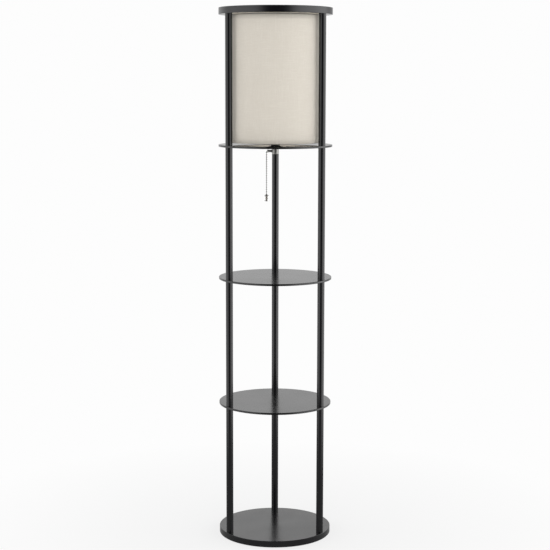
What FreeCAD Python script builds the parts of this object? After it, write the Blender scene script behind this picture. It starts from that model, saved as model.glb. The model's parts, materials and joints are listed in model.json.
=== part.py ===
"""Shelf floor lamp: three round posts, three thin round shelves on a thicker round base,
a ring board on top and a fabric drum shade between the upper shelf and the ring.

Millimetres, +Z up, front towards -Y.  The origin is the centre of the foot print, on the floor.
"""
import FreeCAD, Part
import math
import os
import Sketcher

# ------------------------------------------------------------------ driving dimensions
SIZES = [
    # boards
    ("board_diameter", 338.0, "base board and the three thin shelves"),
    ("base_thickness", 19.0, "base board"),
    ("shelf_thickness", 6.0, "the three thin shelves"),
    ("cap_inset", 1.0, "shelves' edge to the ring board's edge"),
    ("cap_thickness", 20.0, "ring board on top"),
    ("cap_lip", 25.0, "ring board's reach inside the shade"),
    ("board_rounding", 1.2, "rounded edges of the base and the ring board"),
    ("shelf_rounding", 0.8, "rounded edges of the thin shelves"),
    ("pad_diameter", 22.0, "rubber pads under the base"),
    ("pad_thickness", 2.0, "rubber pads under the base"),
    ("pad_inset", 49.0, "board's edge to the pads' centres"),
    # posts
    ("post_diameter", 21.0, "steel post tubes"),
    ("post_wall", 1.2, "steel post tubes"),
    ("post_edge_gap", 2.0, "board's edge to the posts' outside"),
    ("bottom_post_length", 383.5, "base to lower shelf"),
    ("lower_post_length", 375.5, "lower to middle shelf"),
    ("middle_post_length", 389.5, "middle to upper shelf"),
    ("top_post_length", 380.0, "upper shelf to ring board"),
    ("plug_length", 14.0, "threaded plugs pressed into the tube ends"),
    ("plug_spare", 2.0, "plug beyond the end of a stud or screw"),
    ("thread_diameter", 6.0, "studs and screws"),
    ("hole_clearance", 0.3, "board around a stud or screw"),
    ("bolt_head_diameter", 10.0, "cap screws"),
    ("bolt_head_height", 6.0, "cap screws"),
    ("hex_across_corners", 5.8, "socket in the screw heads"),
    ("hex_depth", 3.0, "socket in the screw heads"),
    ("head_clearance", 2.0, "recess around a screw head"),
    ("head_recess", 2.0, "base's underside to its screw heads"),
    ("cover_thickness", 2.5, "plastic covers over the upper screws"),
    ("cover_gap", 0.5, "screw head to its cover"),
    # shade
    ("shade_diameter", 282.0, "outside of the fabric"),
    ("fabric_thickness", 0.6, "linen cover"),
    ("liner_thickness", 0.8, "stiff plastic backing of the linen"),
    ("shade_gap_below", 6.6, "upper shelf to shade"),
    ("shade_gap_above", 3.0, "shade to ring board"),
    ("wire_diameter", 3.0, "shade wires and fitter arms"),
    ("fitter_clearance", 0.4, "clamped ring around the socket"),
    ("fitter_ring_width", 6.6, "clamped ring of the fitter"),
    ("fitter_ring_thickness", 2.0, "clamped ring of the fitter"),
    # socket
    ("nipple_diameter", 10.0, "hollow threaded nipple"),
    ("nipple_wall", 1.0, "hollow threaded nipple"),
    ("nipple_above", 10.0, "nipple inside the socket"),
    ("nipple_spare", 1.0, "nipple beyond its lock nut"),
    ("nipple_clearance", 0.2, "upper shelf around the nipple"),
    ("nut_across_corners", 16.2, "hexagonal lock nut"),
    ("nut_thickness", 3.0, "hexagonal lock nut"),
    ("socket_collar_diameter", 26.0, "foot of the socket"),
    ("socket_collar_height", 4.0, "foot of the socket"),
    ("socket_lip", 2.0, "shoulder that carries the fitter"),
    ("socket_lip_edge", 1.3, "straight edge of the shoulder"),
    ("socket_wall", 6.0, "socket around its bore"),
    ("socket_height", 50.0, "above the upper shelf"),
    ("socket_floor_height", 14.0, "above the upper shelf"),
    ("ring_nut_wall", 4.5, "shade ring nut"),
    ("ring_nut_height", 8.0, "shade ring nut"),
    ("ring_nut_chamfer", 1.5, "shade ring nut"),
    ("screw_shell_wall", 0.5, "metal screw shell"),
    ("screw_shell_length", 27.0, "metal screw shell"),
    ("screw_shell_inset", 3.0, "socket's rim to the screw shell"),
    ("screw_shell_clearance", 0.3, "screw shell around the bulb's thread"),
    ("contact_diameter", 12.0, "centre contact"),
    ("contact_thickness", 0.8, "centre contact"),
    ("contact_clearance", 0.3, "centre contact to bulb"),
    ("lead_diameter", 1.8, "insulated leads"),
    ("lead_spacing", 3.6, "insulated leads"),
    # bulb
    ("globe_diameter", 60.0, "glass globe"),
    ("globe_wall", 0.9, "glass globe"),
    ("bulb_length", 108.0, "tip to top of the globe"),
    ("neck_depth", 6.0, "glass neck in the screw cap"),
    ("neck_rise", 0.5, "straight glass neck above the socket's rim"),
    ("screw_cap_diameter", 26.4, "crest of the cap's thread"),
    ("screw_cap_wall", 0.5, "cap under its thread"),
    ("thread_depth", 0.5, "crest to root of the cap's thread"),
    ("thread_pitch", 3.6, "cap's thread"),
    ("bulb_tip_diameter", 9.0, "solder tip"),
    ("bulb_tip_height", 2.0, "solder tip"),
    ("insulator_height", 3.0, "dark glass between tip and cap"),
    ("screw_cap_rim", 2.0, "plain rim at each end of the thread"),
    # switch under the upper shelf
    ("can_diameter", 20.0, "switch housing"),
    ("can_wall", 0.8, "switch housing"),
    ("can_plate", 1.0, "top plate of the housing"),
    ("can_below_arm", 5.3, "arm's axis to the housing's lower end"),
    ("can_cover_height", 4.2, "cup that closes the housing"),
    ("can_cover_floor", 1.6, "cup that closes the housing"),
    ("can_cover_rounding", 2.8, "cup that closes the housing"),
    ("arm_wall", 0.7, "arm tube"),
    ("arm_length", 14.0, "housing to the arm's mouth"),
    ("arm_inside", 1.0, "arm tube inside the housing's wall"),
    ("arm_lip", 1.0, "shoulder and flared mouth around the tube"),
    ("arm_shoulder_width", 2.0, "shoulder on the housing"),
    ("mouth_length", 5.0, "flared mouth"),
    ("mouth_edge", 1.5, "straight edge of the flared mouth"),
    ("block_thickness", 3.9, "switch block under the nut"),
    ("block_gap", 0.3, "nipple's end to the switch block"),
    ("block_fit", 0.1, "switch block in the housing"),
    ("leg_thickness", 1.2, "stop at the back of the slider"),
    ("slider_play", 0.3, "slider in the arm's bore"),
    ("slider_link", 3.3, "innermost bead's centre to the slider's front"),
    ("slider_head_diameter", 8.0, "head of the slider"),
    ("slider_head_length", 1.6, "head of the slider"),
    ("slider_head_gap", 0.5, "block to the slider's head below it"),
    ("slider_clearance", 0.4, "head to its stop"),
    ("bush_bore", 4.4, "cord bush"),
    ("bush_wall", 0.8, "cord bush"),
    ("bush_lip", 1.0, "cord bush"),
    ("bush_flange", 1.5, "flange outside the housing"),
    ("bush_inside", 1.6, "length inside the housing's outside"),
    # pull chain
    ("bead_diameter", 4.2, "chain beads"),
    ("bead_play", 0.6, "bead in the arm's bore"),
    ("chain_pitch", 6.9, "bead to bead"),
    ("link_diameter", 1.2, "wire between the beads"),
    ("mouth_gap", 0.2, "arm's mouth to the hanging beads"),
    ("stem_drop", 4.2, "arm's axis to the first hanging bead"),
    ("inner_bead_inset", 1.7, "arm's mouth to the outermost inner bead's centre"),
    ("swivel_gap", 0.3, "play between two linked half wires"),
    ("bell_height", 19.2, "clear pendant"),
    ("bell_diameter", 15.2, "clear pendant"),
    ("bell_crown_diameter", 5.0, "top of the clear pendant"),
    ("bell_crown_height", 4.2, "sloping top of the clear pendant"),
    ("bell_rounding", 1.2, "shoulder of the clear pendant"),
    ("core_diameter", 4.0, "metal core of the pendant"),
    ("core_rise", 1.2, "core above the pendant"),
    ("core_foot_diameter", 5.6, "foot that carries the pendant"),
    ("core_foot_height", 1.0, "foot that carries the pendant"),
]
CHAIN_BEADS = 17
INNER_BEADS = 3
THREAD_RIDGES = 5
PAD_ANGLES = (45, 135, 225, 315)
POST_ANGLES = {"left": 210, "right": 330, "back": 90}
FITTER_ANGLES = (30, 150, 270)
TOLERANCE = 0.001
OUTWARD_LEFT = FreeCAD.Rotation(FreeCAD.Vector(0, 1, 0), -90)
OUTWARD_BACK = FreeCAD.Rotation(FreeCAD.Vector(1, 0, 0), -90)

doc = FreeCAD.newDocument("shelf_floor_lamp")
sheet = doc.addObject("Spreadsheet::Sheet", "sizes")
pieces = []


# ------------------------------------------------------------------ sizes and expressions
class Size:
    """A number together with the sheet expression that gives it."""

    def __init__(self, value, text):
        self.value = float(value)
        self.text = text

    def __add__(self, other):
        other = as_size(other)
        return Size(self.value + other.value, f"({self.text} + {other.text})")

    def __sub__(self, other):
        other = as_size(other)
        return Size(self.value - other.value, f"({self.text} - {other.text})")

    def __mul__(self, other):
        other = as_size(other)
        return Size(self.value * other.value, f"({self.text} * {other.text})")

    def __truediv__(self, other):
        other = as_size(other)
        return Size(self.value / other.value, f"({self.text} / {other.text})")

    def __neg__(self):
        return Size(-self.value, f"(0 - {self.text})")


def as_size(number):
    return number if isinstance(number, Size) else Size(number, repr(float(number)))


def root(size):
    return Size(math.sqrt(size.value), f"sqrt({size.text})")


def polar(radius, degrees):
    """The two plan coordinates of a point at this radius and angle."""
    turn = math.radians(degrees)
    return (Size(radius.value * math.cos(turn), f"({radius.text} * cos({degrees}))"),
            Size(radius.value * math.sin(turn), f"({radius.text} * sin({degrees}))"))


def write_sheet():
    """Fill the sheet and return its values by name."""
    for row, (name, value, note) in enumerate(SIZES, start=1):
        sheet.set(f"A{row}", name)
        sheet.set(f"B{row}", str(value))
        sheet.setAlias(f"B{row}", name)
        sheet.set(f"C{row}", note)
    doc.recompute()
    return {name: Size(value, f"sizes.{name}") for name, value, note in SIZES}


S = write_sheet()
NOTHING = as_size(0)

# circles and holes that the boards, posts and screws share
BOARD_RADIUS = S["board_diameter"] / 2
CAP_RADIUS = BOARD_RADIUS - S["cap_inset"]
POST_RADIUS = S["post_diameter"] / 2
POST_CIRCLE = BOARD_RADIUS - S["post_edge_gap"] - POST_RADIUS
HOLE_RADIUS = S["thread_diameter"] / 2 + S["hole_clearance"]
RECESS_RADIUS = S["bolt_head_diameter"] / 2 + S["head_clearance"]
BASE_RECESS = S["bolt_head_height"] + S["head_recess"]
CAP_RECESS = S["bolt_head_height"] + S["cover_gap"] + S["cover_thickness"]
THREAD_REACH = S["plug_length"] - S["plug_spare"]

# heights of the boards
BASE_UNDER = S["pad_thickness"]
BASE_TOP = BASE_UNDER + S["base_thickness"]
LOWER_UNDER = BASE_TOP + S["bottom_post_length"]
LOWER_TOP = LOWER_UNDER + S["shelf_thickness"]
MIDDLE_UNDER = LOWER_TOP + S["lower_post_length"]
MIDDLE_TOP = MIDDLE_UNDER + S["shelf_thickness"]
UPPER_UNDER = MIDDLE_TOP + S["middle_post_length"]
UPPER_TOP = UPPER_UNDER + S["shelf_thickness"]
CAP_UNDER = UPPER_TOP + S["top_post_length"]
CAP_TOP = CAP_UNDER + S["cap_thickness"]
TIERS = {"bottom": (BASE_TOP, S["bottom_post_length"]),
         "lower": (LOWER_TOP, S["lower_post_length"]),
         "middle": (MIDDLE_TOP, S["middle_post_length"]),
         "top": (UPPER_TOP, S["top_post_length"])}


# ------------------------------------------------------------------ modelling helpers
def bind(item, name, size):
    item.setExpression(name, as_size(size).text)


def put(item, x=NOTHING, y=NOTHING, z=NOTHING):
    """Bind an object's place to the sheet, leaving its turn alone."""
    bind(item, "Placement.Base.x", x)
    bind(item, "Placement.Base.y", y)
    bind(item, "Placement.Base.z", z)
    return item


def keep(item, label):
    """Name an object as one of the lamp's pieces."""
    item.Label = label
    pieces.append(item)
    return item


def cylinder(radius, height, x=NOTHING, y=NOTHING, z=NOTHING, turn=None):
    item = doc.addObject("Part::Cylinder", "cylinder")
    bind(item, "Radius", radius)
    bind(item, "Height", height)
    if turn is not None:
        item.Placement.Rotation = turn
    return put(item, x, y, z)


def sphere(radius, x=NOTHING, y=NOTHING, z=NOTHING):
    item = doc.addObject("Part::Sphere", "sphere")
    bind(item, "Radius", radius)
    return put(item, x, y, z)


def hexagon(across_corners, height, x=NOTHING, y=NOTHING, z=NOTHING):
    """A prism, which has six sides unless it is given another number."""
    item = doc.addObject("Part::Prism", "hexagon")
    bind(item, "Circumradius", across_corners / 2)
    bind(item, "Height", height)
    return put(item, x, y, z)


def wire_ring(radius, wire_radius, z):
    item = doc.addObject("Part::Torus", "wire_ring")
    bind(item, "Radius1", radius)
    bind(item, "Radius2", wire_radius)
    return put(item, z=z)


def cut(base, tool):
    item = doc.addObject("Part::Cut", "cut")
    item.Base = base
    item.Tool = tool
    return item


def joined(items):
    item = doc.addObject("Part::MultiFuse", "joined")
    item.Shapes = items
    return item


def group(items):
    """Several separate solids in one piece."""
    item = doc.addObject("Part::Compound", "group")
    item.Links = items
    return item


def tube(outer_radius, inner_radius, height, x=NOTHING, y=NOTHING, z=NOTHING):
    return cut(cylinder(outer_radius, height, x, y, z), cylinder(inner_radius, height, x, y, z))


def origin_feature(body, role):
    return next(feature for feature in body.Origin.OriginFeatures if feature.Role == role)


def new_sketch(body, role):
    sketch = body.newObject("Sketcher::SketchObject", "sketch")
    sketch.AttachmentSupport = [(origin_feature(body, role), "")]
    sketch.MapMode = "FlatFace"
    return sketch


def hold(sketch, constraint, size):
    number = sketch.addConstraint(constraint)
    bind(sketch, f"Constraints[{number}]", size)


def hold_point(sketch, line, place):
    """Fix the start of a line at its distances from the sketch's origin."""
    across, along = (as_size(part) for part in place)
    if across.value == 0:
        sketch.addConstraint(Sketcher.Constraint("PointOnObject", line, 1, -2))
    else:
        hold(sketch, Sketcher.Constraint("DistanceX", -1, 1, line, 1, across.value), across)
    if along.value == 0:
        sketch.addConstraint(Sketcher.Constraint("PointOnObject", line, 1, -1))
    else:
        hold(sketch, Sketcher.Constraint("DistanceY", -1, 1, line, 1, along.value), along)


def add_outline(sketch, places):
    """A closed outline of straight lines through the given points."""
    points = [FreeCAD.Vector(as_size(x).value, as_size(y).value, 0) for x, y in places]
    count = len(points)
    lines = [sketch.addGeometry(Part.LineSegment(points[i], points[(i + 1) % count]))
             for i in range(count)]
    for i in range(count):
        sketch.addConstraint(Sketcher.Constraint("Coincident", lines[i], 2, lines[(i + 1) % count], 1))
    for line, place in zip(lines, places):
        hold_point(sketch, line, place)


def add_circle(sketch, radius, x=NOTHING, y=NOTHING):
    centre = FreeCAD.Vector(x.value, y.value, 0)
    circle = sketch.addGeometry(Part.Circle(centre, FreeCAD.Vector(0, 0, 1), radius.value))
    hold(sketch, Sketcher.Constraint("Radius", circle, radius.value), radius)
    for name, size, axis in (("DistanceX", x, -2), ("DistanceY", y, -1)):
        if size.value == 0:
            sketch.addConstraint(Sketcher.Constraint("PointOnObject", circle, 3, axis))
        else:
            hold(sketch, Sketcher.Constraint(name, -1, 1, circle, 3, size.value), size)


def revolved(label, places, z=NOTHING, turn=None):
    """A body turned about its own Z from an outline of (radius, height) points."""
    body = doc.addObject("PartDesign::Body", label)
    sketch = new_sketch(body, "XZ_Plane")
    add_outline(sketch, places)
    revolution = body.newObject("PartDesign::Revolution", "turning")
    revolution.Profile = sketch
    revolution.ReferenceAxis = (sketch, ["V_Axis"])
    if turn is not None:
        body.Placement.Rotation = turn
    put(body, z=z)
    doc.recompute()
    return body


def turned(label, places, z=NOTHING, turn=None):
    """A piece turned from an outline."""
    return keep(revolved(label, places, z, turn), label)


def padded(label, thickness, z, radii, x=NOTHING, y=NOTHING):
    """A flat round piece, its outer radius first, then that of its hole if it has one."""
    body = keep(doc.addObject("PartDesign::Body", label), label)
    sketch = new_sketch(body, "XY_Plane")
    for radius in radii:
        add_circle(sketch, radius)
    pad = body.newObject("PartDesign::Pad", "pad")
    pad.Profile = sketch
    bind(pad, "Length", thickness)
    put(body, x, y, z)
    doc.recompute()
    return body


def pocket_pattern(body, radius, depth, level, upward):
    """Three round pockets on the post circle, sunk up or down from a level in the body."""
    sketch = new_sketch(body, "XY_Plane")
    bind(sketch, "AttachmentOffset.Base.z", level)
    add_circle(sketch, radius, NOTHING, POST_CIRCLE)
    pocket = body.newObject("PartDesign::Pocket", "pocket")
    pocket.Profile = sketch
    pocket.Reversed = upward
    bind(pocket, "Length", depth)
    doc.recompute()
    pattern = body.newObject("PartDesign::PolarPattern", "pattern")
    pattern.Originals = [pocket]
    pattern.Axis = (origin_feature(body, "Z_Axis"), [""])
    pattern.Occurrences = len(POST_ANGLES)
    body.Tip = pattern
    doc.recompute()


def round_circles(body, radii, rounding, highest=math.inf):
    """Round the body's full circular edges of the given radii, up to a height in the body."""
    finished = body.Tip
    names = [f"Edge{number}" for number, edge in enumerate(finished.Shape.Edges, start=1)
             if isinstance(edge.Curve, Part.Circle) and edge.BoundBox.ZMax < highest
             and any(abs(edge.Curve.Radius - radius.value) < TOLERANCE for radius in radii)]
    fillet = body.newObject("PartDesign::Fillet", "rounding")
    fillet.Base = (finished, names)
    bind(fillet, "Radius", rounding)
    body.Tip = fillet
    doc.recompute()


# ------------------------------------------------------------------ boards
def base_board():
    body = padded("base_board", S["base_thickness"], BASE_UNDER, [BOARD_RADIUS])
    pocket_pattern(body, HOLE_RADIUS, S["base_thickness"], NOTHING, True)
    pocket_pattern(body, RECESS_RADIUS, BASE_RECESS, NOTHING, True)
    round_circles(body, [BOARD_RADIUS], S["board_rounding"])


def base_pads():
    circle = BOARD_RADIUS - S["pad_inset"]
    pads = [cylinder(S["pad_diameter"] / 2, S["pad_thickness"], *polar(circle, angle))
            for angle in PAD_ANGLES]
    keep(group(pads), "base_pads")


def shelf(label, z, centre_hole=None):
    radii = [BOARD_RADIUS] if centre_hole is None else [BOARD_RADIUS, centre_hole]
    body = padded(label, S["shelf_thickness"], z, radii)
    pocket_pattern(body, HOLE_RADIUS, S["shelf_thickness"], NOTHING, True)
    round_circles(body, [BOARD_RADIUS], S["shelf_rounding"])


def cap_ring():
    opening = S["shade_diameter"] / 2 - S["cap_lip"]
    body = padded("cap_ring", S["cap_thickness"], CAP_UNDER, [CAP_RADIUS, opening])
    pocket_pattern(body, HOLE_RADIUS, S["cap_thickness"], NOTHING, True)
    pocket_pattern(body, RECESS_RADIUS, CAP_RECESS, S["cap_thickness"], False)
    round_circles(body, [CAP_RADIUS, opening], S["board_rounding"])


# ------------------------------------------------------------------ posts and their fasteners
def post(side, tier):
    start, length = TIERS[tier]
    x, y = polar(POST_CIRCLE, POST_ANGLES[side])
    padded(f"post_{side}_{tier}", length, start, [POST_RADIUS, POST_RADIUS - S["post_wall"]], x, y)


def post_plugs():
    """A threaded plug in each end of each tube."""
    outer = POST_RADIUS - S["post_wall"]
    bore = S["thread_diameter"] / 2
    length = S["plug_length"]
    plugs = []
    for start, post_length in TIERS.values():
        for z in (start, start + post_length - length):
            for angle in POST_ANGLES.values():
                x, y = polar(POST_CIRCLE, angle)
                plugs.append(tube(outer, bore, length, x, y, z))
    keep(group(plugs), "post_plugs")


def shelf_studs(label, shelf_under):
    """Studs through a shelf that join the tubes below and above it."""
    length = S["shelf_thickness"] + THREAD_REACH * 2
    studs = [cylinder(S["thread_diameter"] / 2, length, *polar(POST_CIRCLE, angle),
                      shelf_under - THREAD_REACH)
             for angle in POST_ANGLES.values()]
    keep(group(studs), label)


def cap_screw(angle, seat, shank_length, points_up):
    """A hexagon-socket screw whose head bears on the seat height."""
    x, y = polar(POST_CIRCLE, angle)
    head_height = S["bolt_head_height"]
    depth = S["hex_depth"]
    if points_up:
        head_z, shank_z, recess_z = seat - head_height, seat, seat - head_height
    else:
        head_z, shank_z, recess_z = seat, seat - shank_length, seat + head_height - depth
    solid = joined([cylinder(S["bolt_head_diameter"] / 2, head_height, x, y, head_z),
                    cylinder(S["thread_diameter"] / 2, shank_length, x, y, shank_z)])
    return cut(solid, hexagon(S["hex_across_corners"], depth, x, y, recess_z))


def board_screws():
    base_seat = BASE_UNDER + BASE_RECESS
    base_shank = S["base_thickness"] - BASE_RECESS + THREAD_REACH
    cap_seat = CAP_TOP - CAP_RECESS
    cap_shank = S["cap_thickness"] - CAP_RECESS + THREAD_REACH
    angles = POST_ANGLES.values()
    keep(group([cap_screw(angle, base_seat, base_shank, True) for angle in angles]), "base_bolts")
    keep(group([cap_screw(angle, cap_seat, cap_shank, False) for angle in angles]), "cap_bolts")
    covers = [cylinder(RECESS_RADIUS, S["cover_thickness"],
                       *polar(POST_CIRCLE, angle), CAP_TOP - S["cover_thickness"])
              for angle in angles]
    keep(group(covers), "cap_bolt_covers")


# ------------------------------------------------------------------ shade
SHADE_UNDER = UPPER_TOP + S["shade_gap_below"]
SHADE_HEIGHT = S["top_post_length"] - S["shade_gap_below"] - S["shade_gap_above"]
LINER_RADIUS = S["shade_diameter"] / 2 - S["fabric_thickness"]
SHADE_WIRE_RADIUS = S["wire_diameter"] / 2
SHADE_WIRE_CIRCLE = LINER_RADIUS - S["liner_thickness"] - SHADE_WIRE_RADIUS
FITTER_MIDDLE = SHADE_UNDER + SHADE_WIRE_RADIUS

# the socket is built round the bulb's thread, and the fitter round the socket
SOCKET_BORE = S["screw_cap_diameter"] / 2 + S["screw_shell_clearance"] + S["screw_shell_wall"]
SOCKET_RADIUS = SOCKET_BORE + S["socket_wall"]


def shade():
    padded("shade_fabric", SHADE_HEIGHT, SHADE_UNDER, [S["shade_diameter"] / 2, LINER_RADIUS])
    padded("shade_liner", SHADE_HEIGHT, SHADE_UNDER,
           [LINER_RADIUS, LINER_RADIUS - S["liner_thickness"]])
    top = SHADE_UNDER + SHADE_HEIGHT - SHADE_WIRE_RADIUS
    keep(wire_ring(SHADE_WIRE_CIRCLE, SHADE_WIRE_RADIUS, top), "shade_top_wire")


def shade_fitter():
    """Lower wire ring, three arms and the flat ring that is clamped on the socket."""
    inner = SOCKET_RADIUS + S["fitter_clearance"]
    outer = inner + S["fitter_ring_width"]
    thickness = S["fitter_ring_thickness"]
    clamped = tube(outer, inner, thickness, z=FITTER_MIDDLE - thickness / 2)
    arm_start = outer - SHADE_WIRE_RADIUS
    arms = []
    for angle in FITTER_ANGLES:
        turn = FreeCAD.Rotation(FreeCAD.Vector(0, 0, 1), angle)
        flat = FreeCAD.Rotation(FreeCAD.Vector(0, 1, 0), 90)
        x, y = polar(arm_start, angle)
        arms.append(cylinder(SHADE_WIRE_RADIUS, SHADE_WIRE_CIRCLE - arm_start, x, y, FITTER_MIDDLE,
                             turn.multiply(flat)))
    ring = wire_ring(SHADE_WIRE_CIRCLE, SHADE_WIRE_RADIUS, FITTER_MIDDLE)
    keep(joined([clamped, ring] + arms), "shade_fitter")


# ------------------------------------------------------------------ socket
SEAT_HEIGHT = S["shade_gap_below"] + SHADE_WIRE_RADIUS - S["fitter_ring_thickness"] / 2
NIPPLE_RADIUS = S["nipple_diameter"] / 2
NIPPLE_BORE = NIPPLE_RADIUS - S["nipple_wall"]
NUT_UNDER = UPPER_UNDER - S["can_plate"] - S["nut_thickness"]
NIPPLE_UNDER = NUT_UNDER - S["nipple_spare"]
BLOCK_TOP = NIPPLE_UNDER - S["block_gap"]


def socket():
    collar = S["socket_collar_diameter"] / 2
    flange = SOCKET_RADIUS + S["socket_lip"]
    height = S["socket_height"]
    floor = S["socket_floor_height"]
    turned("socket_body", [
        (NIPPLE_RADIUS, NOTHING), (collar, NOTHING), (collar, S["socket_collar_height"]),
        (flange, SEAT_HEIGHT - S["socket_lip_edge"]), (flange, SEAT_HEIGHT),
        (SOCKET_RADIUS, SEAT_HEIGHT), (SOCKET_RADIUS, height), (SOCKET_BORE, height),
        (SOCKET_BORE, floor), (NIPPLE_BORE, floor), (NIPPLE_BORE, S["nipple_above"]),
        (NIPPLE_RADIUS, S["nipple_above"])], UPPER_TOP)
    nut = SOCKET_RADIUS + S["ring_nut_wall"]
    nut_height = S["ring_nut_height"]
    chamfer = S["ring_nut_chamfer"]
    turned("shade_ring_nut", [
        (SOCKET_RADIUS, NOTHING), (nut, NOTHING), (nut, nut_height - chamfer),
        (nut - chamfer, nut_height), (SOCKET_RADIUS, nut_height)],
        FITTER_MIDDLE + S["fitter_ring_thickness"] / 2)
    shell_z = UPPER_TOP + height - S["screw_shell_inset"] - S["screw_shell_length"]
    padded("socket_screw_shell", S["screw_shell_length"], shell_z,
           [SOCKET_BORE, SOCKET_BORE - S["screw_shell_wall"]])
    contact = cylinder(S["contact_diameter"] / 2, S["contact_thickness"], z=UPPER_TOP + floor)
    keep(contact, "socket_contact")


def nipple():
    height = UPPER_TOP + S["nipple_above"] - NIPPLE_UNDER
    padded("socket_nipple", height, NIPPLE_UNDER, [NIPPLE_RADIUS, NIPPLE_BORE])
    nut = cut(hexagon(S["nut_across_corners"], S["nut_thickness"], z=NUT_UNDER),
              cylinder(NIPPLE_RADIUS, S["nut_thickness"], z=NUT_UNDER))
    keep(nut, "nipple_nut")
    lead_length = UPPER_TOP + S["socket_floor_height"] - BLOCK_TOP
    leads = [cylinder(S["lead_diameter"] / 2, lead_length, x, NOTHING, BLOCK_TOP)
             for x in (S["lead_spacing"] / 2, -(S["lead_spacing"] / 2))]
    keep(group(leads), "socket_leads")


# ------------------------------------------------------------------ bulb
TIP_UNDER = UPPER_TOP + S["socket_floor_height"] + S["contact_thickness"] + S["contact_clearance"]
THREAD_CREST = S["screw_cap_diameter"] / 2
THREAD_ROOT = THREAD_CREST - S["thread_depth"]
NECK_RADIUS = THREAD_ROOT - S["screw_cap_wall"]


def bulb_cap(cap_z):
    """Metal cap whose thread is a row of ridges."""
    half = S["thread_pitch"] / 2
    rim = S["screw_cap_rim"]
    places = [(NECK_RADIUS, NOTHING), (THREAD_ROOT, NOTHING), (THREAD_ROOT, rim)]
    for ridge in range(THREAD_RIDGES):
        start = rim + S["thread_pitch"] * ridge
        places += [(THREAD_CREST, start + half), (THREAD_ROOT, start + half * 2)]
    top = rim * 2 + S["thread_pitch"] * THREAD_RIDGES
    places += [(THREAD_ROOT, top), (NECK_RADIUS, top)]
    turned("bulb_cap", places, cap_z)
    return top


def bulb_globe(cap_top):
    """Hollow glass: straight neck, tangent cone and ball, open below the neck."""
    ball = S["globe_diameter"] / 2
    centre = TIP_UNDER + S["bulb_length"] - ball
    cone_start = UPPER_TOP + S["socket_height"] + S["neck_rise"]
    start = cap_top - S["neck_depth"]
    rise = centre - cone_start

    def skin(inset):
        """The solid inside the glass surface, inset from its outside."""
        neck_radius = NECK_RADIUS - inset
        ball_radius = ball - inset
        reach = neck_radius * neck_radius + rise * rise
        tangent = root(reach - ball_radius * ball_radius)
        flare = (rise * ball_radius - neck_radius * tangent) * tangent / reach
        climb = (neck_radius * ball_radius + rise * tangent) * tangent / reach
        cone = doc.addObject("Part::Cone", "cone")
        bind(cone, "Radius1", neck_radius)
        bind(cone, "Radius2", neck_radius + flare)
        bind(cone, "Height", climb)
        put(cone, z=cone_start)
        straight = cylinder(neck_radius, cone_start - start, z=start)
        return joined([straight, cone, sphere(ball_radius, z=centre)])

    keep(cut(skin(NOTHING), skin(S["globe_wall"])), "bulb_globe")


def bulb():
    tip = S["bulb_tip_diameter"] / 2
    tip_height = S["bulb_tip_height"]
    foot_top = tip_height + S["insulator_height"]
    turned("bulb_foot", [
        (NOTHING, NOTHING), (tip, NOTHING), (tip, tip_height), (THREAD_ROOT, foot_top),
        (NOTHING, foot_top)], TIP_UNDER)
    cap_z = TIP_UNDER + foot_top
    cap_height = bulb_cap(cap_z)
    bulb_globe(cap_z + cap_height)


# ------------------------------------------------------------------ pull switch
CAN_RADIUS = S["can_diameter"] / 2
CAN_INSIDE = CAN_RADIUS - S["can_wall"]
BLOCK_UNDER = BLOCK_TOP - S["block_thickness"]
SLIDER_HEAD = S["slider_head_diameter"] / 2
ARM_AXIS = BLOCK_UNDER - S["slider_head_gap"] - SLIDER_HEAD
CAN_UNDER = ARM_AXIS - S["can_below_arm"]
BEAD = S["bead_diameter"] / 2
LINK = S["link_diameter"] / 2
ARM_BORE = BEAD + S["bead_play"]
ARM_RADIUS = ARM_BORE + S["arm_wall"]
ARM_MOUTH = CAN_RADIUS + S["arm_length"]
BUSH_RADIUS = S["bush_bore"] / 2 + S["bush_wall"]
INNER_REACH = ARM_MOUTH - S["inner_bead_inset"]
SLIDER_BACK = CAN_INSIDE - S["leg_thickness"] - S["slider_clearance"]
SLIDER_FRONT = INNER_REACH - S["chain_pitch"] * (INNER_BEADS - 1) - S["slider_link"]


def switch_can():
    height = UPPER_UNDER - CAN_UNDER
    plate_under = height - S["can_plate"]
    shell = revolved("can_shell", [
        (CAN_INSIDE, NOTHING), (CAN_RADIUS, NOTHING), (CAN_RADIUS, height), (NIPPLE_RADIUS, height),
        (NIPPLE_RADIUS, plate_under), (CAN_INSIDE, plate_under)], CAN_UNDER)
    arm_hole = cylinder(ARM_RADIUS, CAN_RADIUS, z=ARM_AXIS, turn=OUTWARD_LEFT)
    bush_hole = cylinder(BUSH_RADIUS, CAN_RADIUS, z=ARM_AXIS, turn=OUTWARD_BACK)
    keep(cut(cut(shell, arm_hole), bush_hole), "switch_can")
    cover_floor = S["can_cover_floor"]
    cover_height = S["can_cover_height"]
    cover = turned("switch_cover", [
        (NOTHING, NOTHING), (CAN_RADIUS, NOTHING), (CAN_RADIUS, cover_height),
        (CAN_INSIDE, cover_height), (CAN_INSIDE, cover_floor), (NOTHING, cover_floor)],
        CAN_UNDER - cover_height)
    round_circles(cover, [CAN_RADIUS], S["can_cover_rounding"], cover_height.value / 2)


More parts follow.
